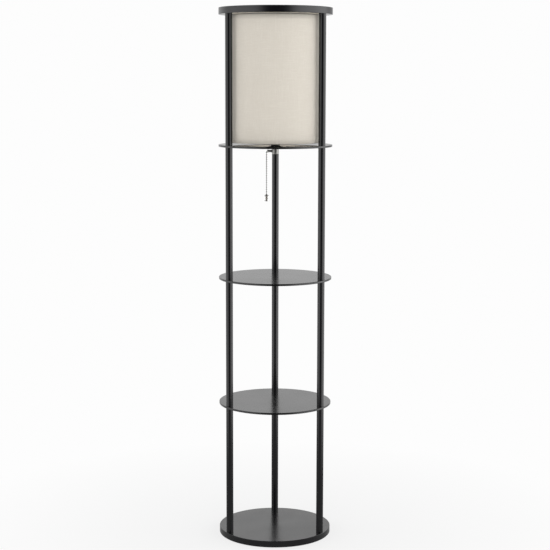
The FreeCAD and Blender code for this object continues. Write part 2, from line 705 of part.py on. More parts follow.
def switch_arm():
    """Tube with a shoulder on the housing and a flared mouth, turned about the arm's axis."""
    start = CAN_INSIDE - S["arm_inside"]
    wide = ARM_RADIUS + S["arm_lip"]
    shoulder_end = CAN_RADIUS + S["arm_shoulder_width"]
    flare_start = ARM_MOUTH - S["mouth_length"]
    edge_start = ARM_MOUTH - S["mouth_edge"]
    turned("switch_arm", [
        (ARM_BORE, start), (ARM_RADIUS, start), (ARM_RADIUS, CAN_RADIUS), (wide, CAN_RADIUS),
        (wide, shoulder_end), (ARM_RADIUS, shoulder_end), (ARM_RADIUS, flare_start),
        (wide, edge_start), (wide, ARM_MOUTH), (wide - S["arm_wall"], ARM_MOUTH),
        (ARM_BORE, edge_start)], ARM_AXIS, OUTWARD_LEFT)


def switch_block():
    """Insulating block under the nut, with a leg as wide and long as the slider's head behind it."""
    inner = CAN_INSIDE - S["block_fit"]
    disc = cylinder(inner, S["block_thickness"], z=BLOCK_UNDER)
    leg_length = S["slider_head_diameter"] + S["block_thickness"]
    leg_under = BLOCK_TOP - leg_length
    leg = doc.addObject("Part::Box", "leg")
    bind(leg, "Length", S["leg_thickness"] + S["can_wall"])
    bind(leg, "Width", S["slider_head_diameter"])
    bind(leg, "Height", leg_length)
    put(leg, SLIDER_BACK + S["slider_clearance"], -SLIDER_HEAD, leg_under)
    trimmed = doc.addObject("Part::Common", "leg_in_housing")
    trimmed.Base = leg
    trimmed.Tool = cylinder(inner, leg_length, z=leg_under)
    keep(joined([disc, trimmed]), "switch_block")


def switch_slider():
    """Plunger in the arm's bore; its head rests against the block's leg."""
    body = ARM_BORE - S["slider_play"]
    head_front = S["slider_head_length"] - SLIDER_BACK
    turned("switch_slider", [
        (NOTHING, -SLIDER_BACK), (SLIDER_HEAD, -SLIDER_BACK), (SLIDER_HEAD, head_front),
        (body, head_front), (body, SLIDER_FRONT), (NOTHING, SLIDER_FRONT)],
        ARM_AXIS, OUTWARD_LEFT)


def inner_chain():
    """Beads and wire inside the arm, from the slider to the mouth."""
    beads = [sphere(BEAD, S["chain_pitch"] * number - INNER_REACH, NOTHING, ARM_AXIS)
             for number in range(INNER_BEADS)]
    wire = cylinder(LINK, INNER_REACH - SLIDER_FRONT, -SLIDER_FRONT, NOTHING, ARM_AXIS, OUTWARD_LEFT)
    keep(joined(beads + [wire]), "inner_chain")


def cord_bush():
    """Bush for a mains lead in the housing's back wall."""
    bore = S["bush_bore"] / 2
    flange = BUSH_RADIUS + S["bush_lip"]
    start = CAN_RADIUS - S["bush_inside"]
    end = CAN_RADIUS + S["bush_flange"]
    turned("cord_bush", [
        (bore, start), (BUSH_RADIUS, start), (BUSH_RADIUS, CAN_RADIUS), (flange, CAN_RADIUS),
        (flange, end), (bore, end)], ARM_AXIS, OUTWARD_BACK)


# ------------------------------------------------------------------ pull chain and pendant
CHAIN_OFFSET = ARM_MOUTH + S["mouth_gap"] + BEAD
STEM_BEAD = ARM_AXIS - S["stem_drop"]
SWIVEL_BEAD = STEM_BEAD - S["chain_pitch"]
FIRST_BEAD = SWIVEL_BEAD - S["chain_pitch"]
HALF_LINK_END = S["chain_pitch"] / 2 - LINK - S["swivel_gap"] / 2


def on_chain(make, size, z, height=None):
    """A ball or wire on the hanging chain's axis."""
    if height is None:
        return make(size, -CHAIN_OFFSET, NOTHING, z)
    return make(size, height, -CHAIN_OFFSET, NOTHING, z)


def half_link(bead_z, downward):
    """Wire with a round end, from a bead's centre almost to the next pivot."""
    start = bead_z - HALF_LINK_END if downward else bead_z
    end = bead_z - HALF_LINK_END if downward else bead_z + HALF_LINK_END
    return [on_chain(cylinder, LINK, start, HALF_LINK_END), on_chain(sphere, LINK, end)]


def hanging_chain():
    stub = on_chain(cylinder, LINK, STEM_BEAD, S["stem_drop"])
    keep(joined([on_chain(sphere, BEAD, STEM_BEAD), stub] + half_link(STEM_BEAD, True)), "chain_stem")
    keep(joined([on_chain(sphere, BEAD, SWIVEL_BEAD)] + half_link(SWIVEL_BEAD, False)
                + half_link(SWIVEL_BEAD, True)), "chain_swivel_bead")
    heights = [FIRST_BEAD - S["chain_pitch"] * number for number in range(CHAIN_BEADS)]
    keep(group([on_chain(sphere, BEAD, z) for z in heights]), "chain_beads")
    wires = [on_chain(cylinder, LINK, z, S["chain_pitch"]) for z in heights[1:]]
    cutters = group([on_chain(sphere, BEAD, z) for z in heights])
    keep(cut(group([joined(half_link(FIRST_BEAD, False))] + wires), cutters), "chain_links")
    return heights[-1]


def pendant(last_bead):
    """Clear bell on a metal core that closes round the last bead's lower half."""
    core_top = last_bead
    bell_top = core_top - S["core_rise"]
    bell_under = bell_top - S["bell_height"]
    core = S["core_diameter"] / 2
    outer = S["bell_diameter"] / 2
    crown = S["bell_crown_diameter"] / 2
    slope_under = S["bell_height"] - S["bell_crown_height"]
    bell = turned("pendant_bell", [
        (core, NOTHING), (outer, NOTHING), (outer, slope_under), (crown, S["bell_height"]),
        (core, S["bell_height"])], bell_under)
    bind(bell, "Placement.Base.x", -CHAIN_OFFSET)
    round_circles(bell, [outer], S["bell_rounding"])
    foot = S["core_foot_diameter"] / 2
    foot_under = -S["core_foot_height"]
    solid = revolved("core_solid", [
        (NOTHING, foot_under), (foot, foot_under), (foot, NOTHING), (core, NOTHING),
        (core, S["bell_height"] + S["core_rise"]), (NOTHING, S["bell_height"] + S["core_rise"])],
        bell_under)
    bind(solid, "Placement.Base.x", -CHAIN_OFFSET)
    keep(cut(solid, on_chain(sphere, BEAD, last_bead)), "pendant_core")


# ------------------------------------------------------------------ the whole lamp
def build():
    base_board()
    base_pads()
    shelf("shelf_lower", LOWER_UNDER)
    shelf("shelf_middle", MIDDLE_UNDER)
    shelf("shelf_upper", UPPER_UNDER, NIPPLE_RADIUS + S["nipple_clearance"])
    cap_ring()
    for side in POST_ANGLES:
        for tier in TIERS:
            post(side, tier)
    post_plugs()
    shelf_studs("lower_shelf_studs", LOWER_UNDER)
    shelf_studs("middle_shelf_studs", MIDDLE_UNDER)
    shelf_studs("upper_shelf_studs", UPPER_UNDER)
    board_screws()
    shade()
    shade_fitter()
    socket()
    nipple()
    bulb()
    switch_can()
    switch_arm()
    switch_block()
    switch_slider()
    inner_chain()
    cord_bush()
    pendant(hanging_chain())
    doc.recompute()


def check_document():
    """Stop before anything is written if an object failed or a piece is not a sound solid."""
    for item in doc.Objects:
        if "Invalid" in item.State or "Error" in item.State:
            raise RuntimeError(f"{item.Name} ({item.Label}) failed: {item.State}")
    for item in pieces:
        if item.Shape.isNull() or not item.Shape.isValid() or not item.Shape.Solids:
            raise RuntimeError(f"{item.Label} has no sound solid")


def write_pieces():
    os.makedirs("parts", exist_ok=True)
    for item in pieces:
        item.Shape.exportStep(os.path.join("parts", f"{item.Label}.step"))
        box = item.Shape.BoundBox
        print(f"{item.Label:22s} solids {len(item.Shape.Solids):3d}  volume {item.Shape.Volume:12.1f}  "
              f"z {box.ZMin:8.2f} to {box.ZMax:8.2f}")
    print(len(pieces), "pieces")


build()
check_document()
write_pieces()
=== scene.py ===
"""Shelf floor lamp: linen shade, finishes, studio and camera around the fixed frame.

Metres, +Z up, front towards -Y, the origin on the floor under the lamp's axis.
"""
import json
import math

import bpy
from mathutils import Matrix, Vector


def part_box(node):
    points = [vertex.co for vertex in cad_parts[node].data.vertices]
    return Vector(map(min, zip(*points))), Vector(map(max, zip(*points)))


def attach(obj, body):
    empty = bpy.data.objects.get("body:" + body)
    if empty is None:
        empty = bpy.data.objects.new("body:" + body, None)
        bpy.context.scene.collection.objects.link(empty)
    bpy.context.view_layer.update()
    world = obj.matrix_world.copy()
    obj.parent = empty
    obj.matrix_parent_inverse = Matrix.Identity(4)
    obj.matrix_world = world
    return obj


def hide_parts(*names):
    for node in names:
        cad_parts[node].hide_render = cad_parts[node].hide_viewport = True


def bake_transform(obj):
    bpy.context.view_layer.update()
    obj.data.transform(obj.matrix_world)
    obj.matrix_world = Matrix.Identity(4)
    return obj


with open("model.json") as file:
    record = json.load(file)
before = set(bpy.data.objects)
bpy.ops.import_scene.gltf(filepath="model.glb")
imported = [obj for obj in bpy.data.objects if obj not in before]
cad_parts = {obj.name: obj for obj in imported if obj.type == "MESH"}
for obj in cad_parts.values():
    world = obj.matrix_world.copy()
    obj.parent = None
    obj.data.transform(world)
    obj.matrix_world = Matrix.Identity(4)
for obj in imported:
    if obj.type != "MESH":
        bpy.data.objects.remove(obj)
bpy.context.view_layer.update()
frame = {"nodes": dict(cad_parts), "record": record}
nodes = frame["nodes"]
joints = {joint["name"]: joint for joint in frame["record"]["behaviour"]["joints"]}

MM = 0.001
MICRON = 0.000001
CHAIN_X = joints["chain_swing_sideways"]["pos_m"][0]

# ------------------------------------------------------------------ camera
# frame and focal length in pixels, sensor in mm, tilt and roll in degrees
FRAME_PX = 550
FOCAL_PX = 1431.0
SENSOR = 36.0
CAMERA_PLACE = (-0.52 * MM, -4266.9 * MM, 1382.7 * MM)
CAMERA_TILT = 7.834
CAMERA_ROLL = 0.103


def add_camera():
    """Camera in front of the lamp, looking a little down at it."""
    data = bpy.data.cameras.new("camera")
    data.sensor_width = SENSOR
    data.lens = SENSOR * FOCAL_PX / FRAME_PX
    camera = bpy.data.objects.new("camera", data)
    bpy.context.collection.objects.link(camera)
    tilt = Matrix.Rotation(math.radians(90 - CAMERA_TILT), 3, "X")
    roll = Matrix.Rotation(math.radians(CAMERA_ROLL), 3, "Z")
    camera.location = CAMERA_PLACE
    camera.rotation_euler = (tilt @ roll).to_euler()
    bpy.context.scene.camera = camera


# ------------------------------------------------------------------ node trees
# how nearly edge on a surface is seen where its gloss starts to sharpen and is sharpest,
# and the share of its roughness that is left there
GLANCING = (0.86, 0.95)
SHARPEST = 0.25


def rgb(red, green, blue):
    return (red, green, blue, 1.0)


def heading(turn, rise=0):
    """The direction at this turn in plan and this rise, in degrees."""
    turn, rise = math.radians(turn), math.radians(rise)
    return (math.cos(turn) * math.cos(rise), math.sin(turn) * math.cos(rise), math.sin(rise))


class Nodes:
    """Short calls that add nodes to a tree and join them."""

    def __init__(self, tree):
        self.tree = tree

    def node(self, kind, **settings):
        made = self.tree.nodes.new(kind)
        for name, value in settings.items():
            setattr(made, name, value)
        return made

    def feed(self, socket, source):
        """Join a socket to a source, or give it a plain value."""
        if isinstance(source, bpy.types.NodeSocket):
            self.tree.links.new(source, socket)
        else:
            socket.default_value = source

    def fill(self, made, *sources):
        """Feed a node's first sockets in their order, and give its first output."""
        for socket, source in zip(made.inputs, sources):
            self.feed(socket, source)
        return made.outputs[0]

    def math(self, operation, *sources):
        return self.fill(self.node("ShaderNodeMath", operation=operation), *sources)

    def spread(self, source, low, high, start=0.3, end=0.7):
        """Carry a source from one range to another, held inside it."""
        return self.fill(self.node("ShaderNodeMapRange"), source, start, end, low, high)

    def towards(self, way, direction, start, end, low, high):
        """A level that eases from low to high as the way nears a direction."""
        nearness = self.node("ShaderNodeVectorMath", operation="DOT_PRODUCT")
        self.fill(nearness, way, direction)
        ramp = self.node("ShaderNodeMapRange", interpolation_type="SMOOTHSTEP")
        return self.fill(ramp, nearness.outputs["Value"], start, end, low, high)

    def mixed(self, share, first, second):
        """A shader between two, by a share from 0 to 1."""
        return self.fill(self.node("ShaderNodeMixShader"), share, first, second)


class Pattern(Nodes):
    """The material of one finish, worked out from the place on the lamp."""

    def __init__(self, name, sockets):
        self.material = bpy.data.materials.new(name)
        self.material.use_nodes = True
        super().__init__(self.material.node_tree)
        self.shader = self.tree.nodes["Principled BSDF"]
        for socket, value in sockets.items():
            self.shader.inputs[socket].default_value = value
        self.place = self.node("ShaderNodeTexCoord").outputs["Object"]

    def axes(self):
        """The surface point's three coordinates."""
        made = self.node("ShaderNodeSeparateXYZ")
        self.fill(made, self.place)
        return made.outputs

    def noise(self, size, detail=2.0, stretch=(1, 1, 1)):
        """Noise with features of about this size, drawn out along an axis by its stretch."""
        mapping = self.node("ShaderNodeMapping")
        mapping.inputs["Scale"].default_value = [1 / (size * part) for part in stretch]
        self.feed(mapping.inputs["Vector"], self.place)
        made = self.node("ShaderNodeTexNoise")
        made.inputs["Scale"].default_value = 1.0
        made.inputs["Detail"].default_value = detail
        self.feed(made.inputs["Vector"], mapping.outputs[0])
        return made.outputs[0]

    def blend(self, share, first, second):
        """A colour between two, by a share from 0 to 1."""
        made = self.node("ShaderNodeMix", data_type="RGBA")
        colours = [socket for socket in made.inputs if socket.type == "RGBA"]
        self.feed(made.inputs[0], share)
        self.feed(colours[0], first)
        self.feed(colours[1], second)
        return next(socket for socket in made.outputs if socket.type == "RGBA")

    def colour(self, source):
        self.feed(self.shader.inputs["Base Color"], source)

    def roughness(self, source):
        self.feed(self.shader.inputs["Roughness"], source)

    def gloss(self, source):
        """Roughness that falls to its sharpest where the surface is seen almost edge on."""
        edge_on = self.node("ShaderNodeLayerWeight").outputs["Facing"]
        self.roughness(self.math("MULTIPLY", source,
                                 self.spread(edge_on, 1.0, SHARPEST, *GLANCING)))

    def bump(self, height, depth, under=None):
        """A relief this deep, over an earlier one if there is one."""
        made = self.node("ShaderNodeBump")
        made.inputs["Distance"].default_value = depth
        self.feed(made.inputs["Height"], height)
        if under is not None:
            self.feed(made.inputs["Normal"], under)
        self.feed(self.shader.inputs["Normal"], made.outputs[0])
        return made.outputs[0]


# ------------------------------------------------------------------ black finishes
# the edge band's joint: half its width, how far behind the axis it starts, and its depth
BAND_JOINT_HALF = 0.2 * MM
BAND_JOINT_START = 167.7 * MM
BAND_JOINT_DEPTH = 0.15 * MM


def satin_board():
    """Black foil on fibreboard, with a fine press grain and the edge band's joint at the back."""
    made = Pattern("satin_black_board", {"Specular IOR Level": 0.5})
    smudge = made.noise(90 * MM, 3.0)
    made.colour(made.blend(made.spread(smudge, 0.0, 1.0), rgb(0.0018, 0.0018, 0.0026),
                           rgb(0.0034, 0.0034, 0.0046)))
    made.gloss(made.spread(smudge, 0.19, 0.25))
    grain = made.bump(made.noise(1.1 * MM), 5 * MICRON)
    x, y, _ = made.axes()
    joint = made.math("LESS_THAN", made.math("ABSOLUTE", x), BAND_JOINT_HALF)
    behind = made.math("GREATER_THAN", y, BAND_JOINT_START)
    groove = made.math("MULTIPLY", joint, behind)
    made.bump(made.math("SUBTRACT", 1.0, groove), BAND_JOINT_DEPTH, grain)
    return made.material


def gloss_shelf():
    """Glossy black shelf, almost a mirror at a low angle, with faint waves and dust."""
    made = Pattern("gloss_black_shelf", {"Specular IOR Level": 0.5})
    haze = made.noise(120 * MM, 3.0)
    dust = made.noise(0.7 * MM, 1.0)
    made.colour(made.blend(made.spread(dust, 0.0, 1.0, 0.66, 0.78), rgb(0.0030, 0.0030, 0.0036),
                           rgb(0.012, 0.012, 0.013)))
    made.gloss(made.spread(haze, 0.16, 0.21))
    made.bump(made.noise(30 * MM, 1.0), 20 * MICRON)
    return made.material


def powder_coat():
    """Satin black powder coat with its fine orange peel."""
    made = Pattern("satin_black_tube", {"Specular IOR Level": 0.5})
    patch = made.noise(60 * MM, stretch=(1, 1, 4))
    made.colour(made.blend(made.spread(patch, 0.0, 1.0), rgb(0.0022, 0.0022, 0.0030),
                           rgb(0.0036, 0.0036, 0.0048)))
    made.roughness(made.spread(patch, 0.17, 0.22))
    made.bump(made.noise(0.9 * MM), 4 * MICRON)
    return made.material


# ------------------------------------------------------------------ linen and its backing
# how far yarns stand apart, how many pitches they wander aside, how high they are where
# they dip between others, and how thick their thick places are
YARN_PITCH = 0.85 * MM
YARN_WANDER = 0.35
YARN_DIP = 0.6
SLUB = 1.2 * MM
SLUB_SHARE = 0.6
WEAVE_DEPTH = 0.16 * MM


def linen(radius):
    """Plain weave of uneven yarns, wound round the lamp's axis at this radius."""
    made = Pattern("shade_linen", {"Roughness": 0.85, "Sheen Weight": 0.7, "Sheen Roughness": 0.5,
                                   "Sheen Tint": rgb(1.0, 0.97, 0.9), "Specular IOR Level": 0.2})
    x, y, z = made.axes()
    wander = made.spread(made.noise(20 * MM), -YARN_WANDER, YARN_WANDER)
    around = made.math("MULTIPLY", made.math("ARCTAN2", y, x), radius / YARN_PITCH)
    across = made.math("ADD", around, wander)
    along = made.math("ADD", made.math("DIVIDE", z, YARN_PITCH), wander)

    def yarn(place):
        """How high the surface of a round yarn stands, by its place across it."""
        return made.math("ABSOLUTE", made.math("SINE", made.math("MULTIPLY", place, math.pi)))

    def laid(own, other):
        """A yarn's height where it goes over the others and dips between them."""
        return made.math("MULTIPLY", own, made.spread(other, YARN_DIP, 1.0, 0.0, 1.0))

    def slubs(*stretch):
        """Thick places, drawn out along the yarns that they are spun in."""
        return made.spread(made.noise(SLUB, 1.0, stretch), 0.0, 0.5, 0.5, 0.9)

    warp = yarn(across)
    weft = yarn(along)
    cells = made.math("ADD", made.math("FLOOR", across), made.math("FLOOR", along))
    warp_over = made.math("MODULO", made.math("ABSOLUTE", cells), 2.0)
    weft_over = made.math("SUBTRACT", 1.0, warp_over)
    height = made.math("ADD", made.math("MULTIPLY", laid(warp, weft), warp_over),
                       made.math("MULTIPLY", laid(weft, warp), weft_over))
    thick = made.math("ADD", slubs(1, 1, 30), slubs(25, 25, 1))
    # the colour is darker where the yarns dip between others, a painted shade in the weave's dips,
    # and lighter at the slubs, the yarn's own thick places
    painted_dip_shade_and_slubs = made.math("ADD", made.spread(height, 0.0, 0.55, 0.0, 1.0),
                     made.math("MULTIPLY", thick, SLUB_SHARE))
    made.colour(made.blend(painted_dip_shade_and_slubs, rgb(0.72, 0.66, 0.57), rgb(0.93, 0.885, 0.80)))
    made.bump(made.math("ADD", height, thick), WEAVE_DEPTH)
    return made.material


def shade_backing():
    """White plastic that stiffens the linen."""
    made = Pattern("white_backing", {"Specular IOR Level": 0.3})
    cloud = made.noise(50 * MM)
    made.colour(made.blend(made.spread(cloud, 0.0, 1.0), rgb(0.88, 0.855, 0.80),
                           rgb(0.92, 0.895, 0.845)))
    made.roughness(made.spread(cloud, 0.4, 0.55))
    made.bump(made.noise(0.6 * MM, 1.0), 10 * MICRON)
    return made.material


# ------------------------------------------------------------------ finishes of the fixed pieces
METAL = {"Metallic": 1.0}
# how many grains across the patches of a plain finish are
PATCH_GRAINS = 14
# where round a bead its seam runs and half the seam's width, in radians
SEAM_TURN = 0.9
SEAM_HALF_TURN = 0.07


def bead_nickel():
    """Nickel plate whose beads show the closed seam down one side."""
    made = Pattern("bead_nickel", METAL)
    x, y, _ = made.axes()
    tarnish = made.noise(4 * MM, 3.0)
    turn = made.math("ARCTAN2", y, made.math("SUBTRACT", x, CHAIN_X))
    from_seam = made.math("ABSOLUTE", made.math("SUBTRACT", turn, SEAM_TURN))
    seam = made.math("LESS_THAN", from_seam, SEAM_HALF_TURN)
    bright = made.blend(made.spread(tarnish, 0.0, 1.0), rgb(0.24, 0.235, 0.225),
                        rgb(0.38, 0.375, 0.36))
    made.colour(made.blend(seam, bright, rgb(0.10, 0.095, 0.09)))
    made.roughness(made.spread(tarnish, 0.16, 0.28))
    made.bump(made.noise(0.8 * MM), 8 * MICRON)
    return made.material


def plain_finish(name, dark, light, roughness, grain, depth, sockets=None):
    """A finish that varies between two colours and roughnesses over a fine relief."""
    made = Pattern(name, sockets or {})
    patch = made.noise(grain * PATCH_GRAINS)
    made.colour(made.blend(made.spread(patch, 0.0, 1.0), rgb(*dark), rgb(*light)))
    made.roughness(made.spread(patch, *roughness))
    made.bump(made.noise(grain), depth)
    return made.material


def dress(material, *names):
    """Give carried-over nodes their finish."""
    for name in names:
        data = nodes[name].data
        data.materials.clear()
        data.materials.append(material)


def dress_black_parts():
    """Boards, shelves and posts, and the covers and pads that match them."""
    tubes = [name for name in nodes if name.startswith("post_") and name != "post_plugs"]
    dress(satin_board(), "base_board", "cap_ring")
    dress(gloss_shelf(), "shelf_lower", "shelf_middle", "shelf_upper")
    dress(powder_coat(), *tubes)
    dress(plain_finish("black_cover", (0.012, 0.012, 0.013), (0.020, 0.020, 0.021), (0.42, 0.52),
                       0.8 * MM, 30 * MICRON),
          "cap_bolt_covers", "cord_bush")
    dress(plain_finish("pad_rubber", (0.018, 0.018, 0.018), (0.030, 0.030, 0.030), (0.65, 0.8),
                       0.9 * MM, 40 * MICRON),
          "base_pads")


def dress_metal_parts():
    """Screws and plugs, the switch's housing, the chain, and the bare metal of socket and bulb."""
    dress(plain_finish("zinc_plate", (0.50, 0.50, 0.52), (0.66, 0.66, 0.68), (0.28, 0.40),
                       1.2 * MM, 10 * MICRON, METAL),
          "base_bolts", "cap_bolts", "post_plugs", "nipple_nut", "socket_nipple",
          "lower_shelf_studs", "middle_shelf_studs", "upper_shelf_studs")
    dress(plain_finish("satin_nickel", (0.24, 0.235, 0.225), (0.36, 0.355, 0.34), (0.36, 0.46),
                       1.0 * MM, 6 * MICRON, METAL),
          "switch_can", "switch_cover", "switch_arm", "chain_links")
    dress(bead_nickel(), "inner_chain", "chain_stem", "chain_swivel_bead", "chain_beads")
    dress(plain_finish("plain_brass", (0.55, 0.40, 0.17), (0.72, 0.55, 0.27), (0.22, 0.34),
                       1.1 * MM, 8 * MICRON, METAL),
          "socket_screw_shell", "socket_contact")
    dress(plain_finish("bright_aluminium", (0.70, 0.70, 0.70), (0.80, 0.80, 0.79), (0.2, 0.3),
                       1.2 * MM, 10 * MICRON, METAL),
          "bulb_cap")
    dress(plain_finish("dark_bronze", (0.12, 0.095, 0.075), (0.20, 0.16, 0.125), (0.25, 0.38),
                       0.9 * MM, 10 * MICRON, METAL),
          "pendant_core")


def dress_plastic_and_glass():
    """The shade's backing and its enamelled wires, mouldings, leads, bulb and pendant."""
    dress(shade_backing(), "shade_liner")
    dress(plain_finish("white_enamel", (0.70, 0.69, 0.65), (0.80, 0.79, 0.76), (0.28, 0.38),
                       1.2 * MM, 20 * MICRON),
          "shade_top_wire", "shade_fitter")
    dress(plain_finish("brown_phenolic", (0.020, 0.015, 0.011), (0.034, 0.026, 0.020), (0.26, 0.36),
                       0.9 * MM, 10 * MICRON),
          "socket_body", "shade_ring_nut", "switch_block", "switch_slider")
    dress(plain_finish("lead_cover", (0.74, 0.73, 0.69), (0.82, 0.81, 0.77), (0.4, 0.5),
                       0.9 * MM, 10 * MICRON),
          "socket_leads")
    dress(plain_finish("black_glass", (0.010, 0.010, 0.012), (0.022, 0.022, 0.025), (0.08, 0.16),
                       1.2 * MM, 6 * MICRON),
          "bulb_foot")
    dress(plain_finish("frosted_glass", (0.84, 0.84, 0.82), (0.90, 0.90, 0.88), (0.30, 0.38),
                       0.8 * MM, 8 * MICRON,
                       {"Transmission Weight": 0.35, "IOR": 1.5, "Subsurface Weight": 0.3,
                        "Subsurface Scale": 3 * MM}),
          "bulb_globe")
    dress(plain_finish("clear_acrylic", (0.66, 0.66, 0.65), (0.74, 0.74, 0.73), (0.02, 0.06),
                       1.4 * MM, 4 * MICRON, {"Transmission Weight": 1.0, "IOR": 1.49}),
          "pendant_bell")


# ------------------------------------------------------------------ modelling helpers
def start_piece(add, **settings):
    """Add a primitive with nothing else selected, and open it for editing."""
    bpy.ops.object.select_all(action="DESELECT")
    add(**settings)
    bpy.ops.object.mode_set(mode="EDIT")
    return bpy.context.object


def select(piece, kind, wanted):
    """Select the vertices or faces whose place a test accepts."""
    bpy.ops.object.mode_set(mode="OBJECT")
    data = piece.data
    for items in (data.vertices, data.edges, data.polygons):
        items.foreach_set("select", [False] * len(items))
    for item in getattr(data, kind):
        place = item.center if kind == "polygons" else item.co
        item.select = wanted(piece.matrix_world @ place)
    bpy.ops.object.mode_set(mode="EDIT")
    bpy.ops.mesh.select_mode(type="FACE" if kind == "polygons" else "VERT")


def grow(radius, height, next_radius, next_height, centre=(0, 0)):
    """Extrude the selected ring from one radius and height to the next, round a plan point."""
    bpy.ops.mesh.extrude_region_move(
        TRANSFORM_OT_translate={"value": (0, 0, next_height - height)})
    share = next_radius / radius
    bpy.ops.transform.resize(value=(share, share, 1), center_override=(*centre, next_height))


def finish_piece(piece, name, material, smooth_angle=40):
    """Close editing, settle the piece's place in its mesh and give it its name and finish."""
    bpy.ops.object.mode_set(mode="OBJECT")
    bpy.ops.object.select_all(action="DESELECT")
    piece.select_set(True)
    bpy.context.view_layer.objects.active = piece
    bpy.ops.object.transform_apply(location=True, rotation=True, scale=True)
    bpy.ops.object.shade_smooth_by_angle(angle=math.radians(smooth_angle))
    piece.name = name
    piece.data.name = name
    piece.data.materials.clear()
    piece.data.materials.append(material)


def apply_modifier(piece, kind, **settings):
    modifier = piece.modifiers.new(kind.lower(), kind)
    for name, value in settings.items():
        setattr(modifier, name, value)
    bpy.context.view_layer.objects.active = piece
    bpy.ops.object.modifier_apply(modifier=modifier.name)


# ------------------------------------------------------------------ linen shade
SHADE_COLUMNS = 240
SHADE_ROWS = 24
CLOTH = 0.5 * MM
EDGE_INSET = 0.5 * MM
LAP_COLUMNS = 4
LAP_GAP = 0.1 * MM
ON_WALL = 0.1 * MM
# the fitter's arms in degrees, and the slits that the turned cloth has for them: half their
# width in degrees, how far inside the wall they start and how high they are
FITTER_TURNS = (30, 150, 270)
SLIT_HALF_TURN = 1.6
SLIT_INSIDE = 2.4 * MM
SLIT_HEIGHT = 6 * MM
# the turned cloth's line: how far it is out of the wall and in from the edge, in mm
HEM = ((-0.4, 0.1), (-1.6, -0.25), (-3.4, -0.15), (-4.8, 0.9), (-5.1, 2.3), (-4.7, 3.8),
       (-3.0, 5.2), (-2.35, 6.8), (-2.15, 15.0))


def hem(radius, edge, inward):
    """Radius and height of the cloth as it turns in round the wire and back to the backing."""
    return [(radius + out * MM, edge + inward * up * MM) for out, up in HEM]


def fabric_shade():
    """Linen drawn round its backing: both edges turn in over the wires, the ends lap behind."""
    low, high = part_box("shade_fabric")
    radius = (high.x - low.x) / 2
    straight = high.z - low.z - 2 * EDGE_INSET
    wall = [(radius, low.z + straight * row / SHADE_ROWS + EDGE_INSET)
            for row in range(SHADE_ROWS + 1)]
    rings = hem(radius, low.z, 1)[::-1] + wall + hem(radius, high.z, -1)
    piece = start_piece(bpy.ops.mesh.primitive_circle_add, vertices=SHADE_COLUMNS,
                        radius=rings[0][0], location=(0, 0, rings[0][1]))
    bpy.ops.mesh.select_all(action="SELECT")
    for (ring, height), (next_ring, next_height) in zip(rings, rings[1:]):
        grow(ring, height, next_ring, next_height)
    column = 2 * math.pi / SHADE_COLUMNS

    def at_back(place):
        return place.y > 0 and abs(math.atan2(place.x, place.y) - column / 2) < column / 2

    select(piece, "polygons", at_back)
    bpy.ops.mesh.delete(type="FACE")

    def on_free_end(place):
        behind = place.y > 0 and abs(math.atan2(place.x, place.y) - column) < column / 4
        return behind and math.hypot(place.x, place.y) > radius - ON_WALL

    select(piece, "vertices", on_free_end)
    for step in range(LAP_COLUMNS + 1):
        bpy.ops.mesh.extrude_edges_move()
        bpy.ops.transform.rotate(value=-column, orient_axis="Z", center_override=(0, 0, 0))
        if step == 0:
            lift = 1 + (CLOTH + LAP_GAP) / radius
            bpy.ops.transform.resize(value=(lift, lift, 1), center_override=(0, 0, 0))

    def over_arm(place):
        turn = math.degrees(math.atan2(place.y, place.x)) % 360
        near = min(abs(turn - arm) for arm in FITTER_TURNS) < SLIT_HALF_TURN
        inside = math.hypot(place.x, place.y) < radius - SLIT_INSIDE
        return near and inside and low.z < place.z < low.z + SLIT_HEIGHT

    select(piece, "polygons", over_arm)
    bpy.ops.mesh.delete(type="FACE")
    bpy.ops.mesh.select_all(action="SELECT")
    bpy.ops.mesh.normals_make_consistent(inside=False)
    finish_piece(piece, "linen_shade", linen(radius), smooth_angle=60)
    apply_modifier(piece, "SOLIDIFY", thickness=CLOTH, offset=-1.0, use_even_offset=True)
    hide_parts("shade_fabric")
    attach(piece, "frame")


# ------------------------------------------------------------------ links where the chain's bodies meet
WIRE_RADIUS = 0.6 * MM
WIRE_SIDES = 24
DOME_TURNS = (18, 42, 66)
KNUCKLE_HALF = 0.72 * MM
KNUCKLE_RADIUS = 0.62 * MM
KNUCKLE_ROWS = 2
MOUTH_LINK_ROWS = 16
INNER_BEAD_INSET = 1.7 * MM


def round_ended(half, radius, rows):
    """Heights and radii of a wire's rings: a dome, straight rows and a dome."""
    straight = half - radius
    dome = [(straight + radius * math.cos(math.radians(turn)),
             radius * math.sin(math.radians(turn))) for turn in DOME_TURNS]
    middle = [(straight * (1 - 2 * row / rows), radius) for row in range(rows + 1)]
    return dome + middle + [(-height, ring) for height, ring in dome[::-1]]


def start_wire(centre, rings):
    """A closed upright wire through these rings, left open for editing."""
    x, y, z = centre
    height, radius = rings[0]
    piece = start_piece(bpy.ops.mesh.primitive_circle_add, vertices=WIRE_SIDES, radius=radius,
                        fill_type="NGON", location=(x, y, z + height))
    bpy.ops.mesh.select_all(action="SELECT")
    for (height, radius), (next_height, next_radius) in zip(rings, rings[1:]):
        grow(radius, z + height, next_radius, z + next_height, (x, y))
    bpy.ops.mesh.select_all(action="SELECT")
    bpy.ops.mesh.normals_make_consistent(inside=False)
    return piece


def chain_knuckle(hinge, body, nickel):
    """The wire that fills the gap under a body's last bead, where a hinge lets the chain bend."""
    rings = round_ended(KNUCKLE_HALF, KNUCKLE_RADIUS, KNUCKLE_ROWS)
    knuckle = start_wire(joints[hinge]["pos_m"], rings)
    finish_piece(knuckle, f"{body}_knuckle", nickel)
    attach(knuckle, body)


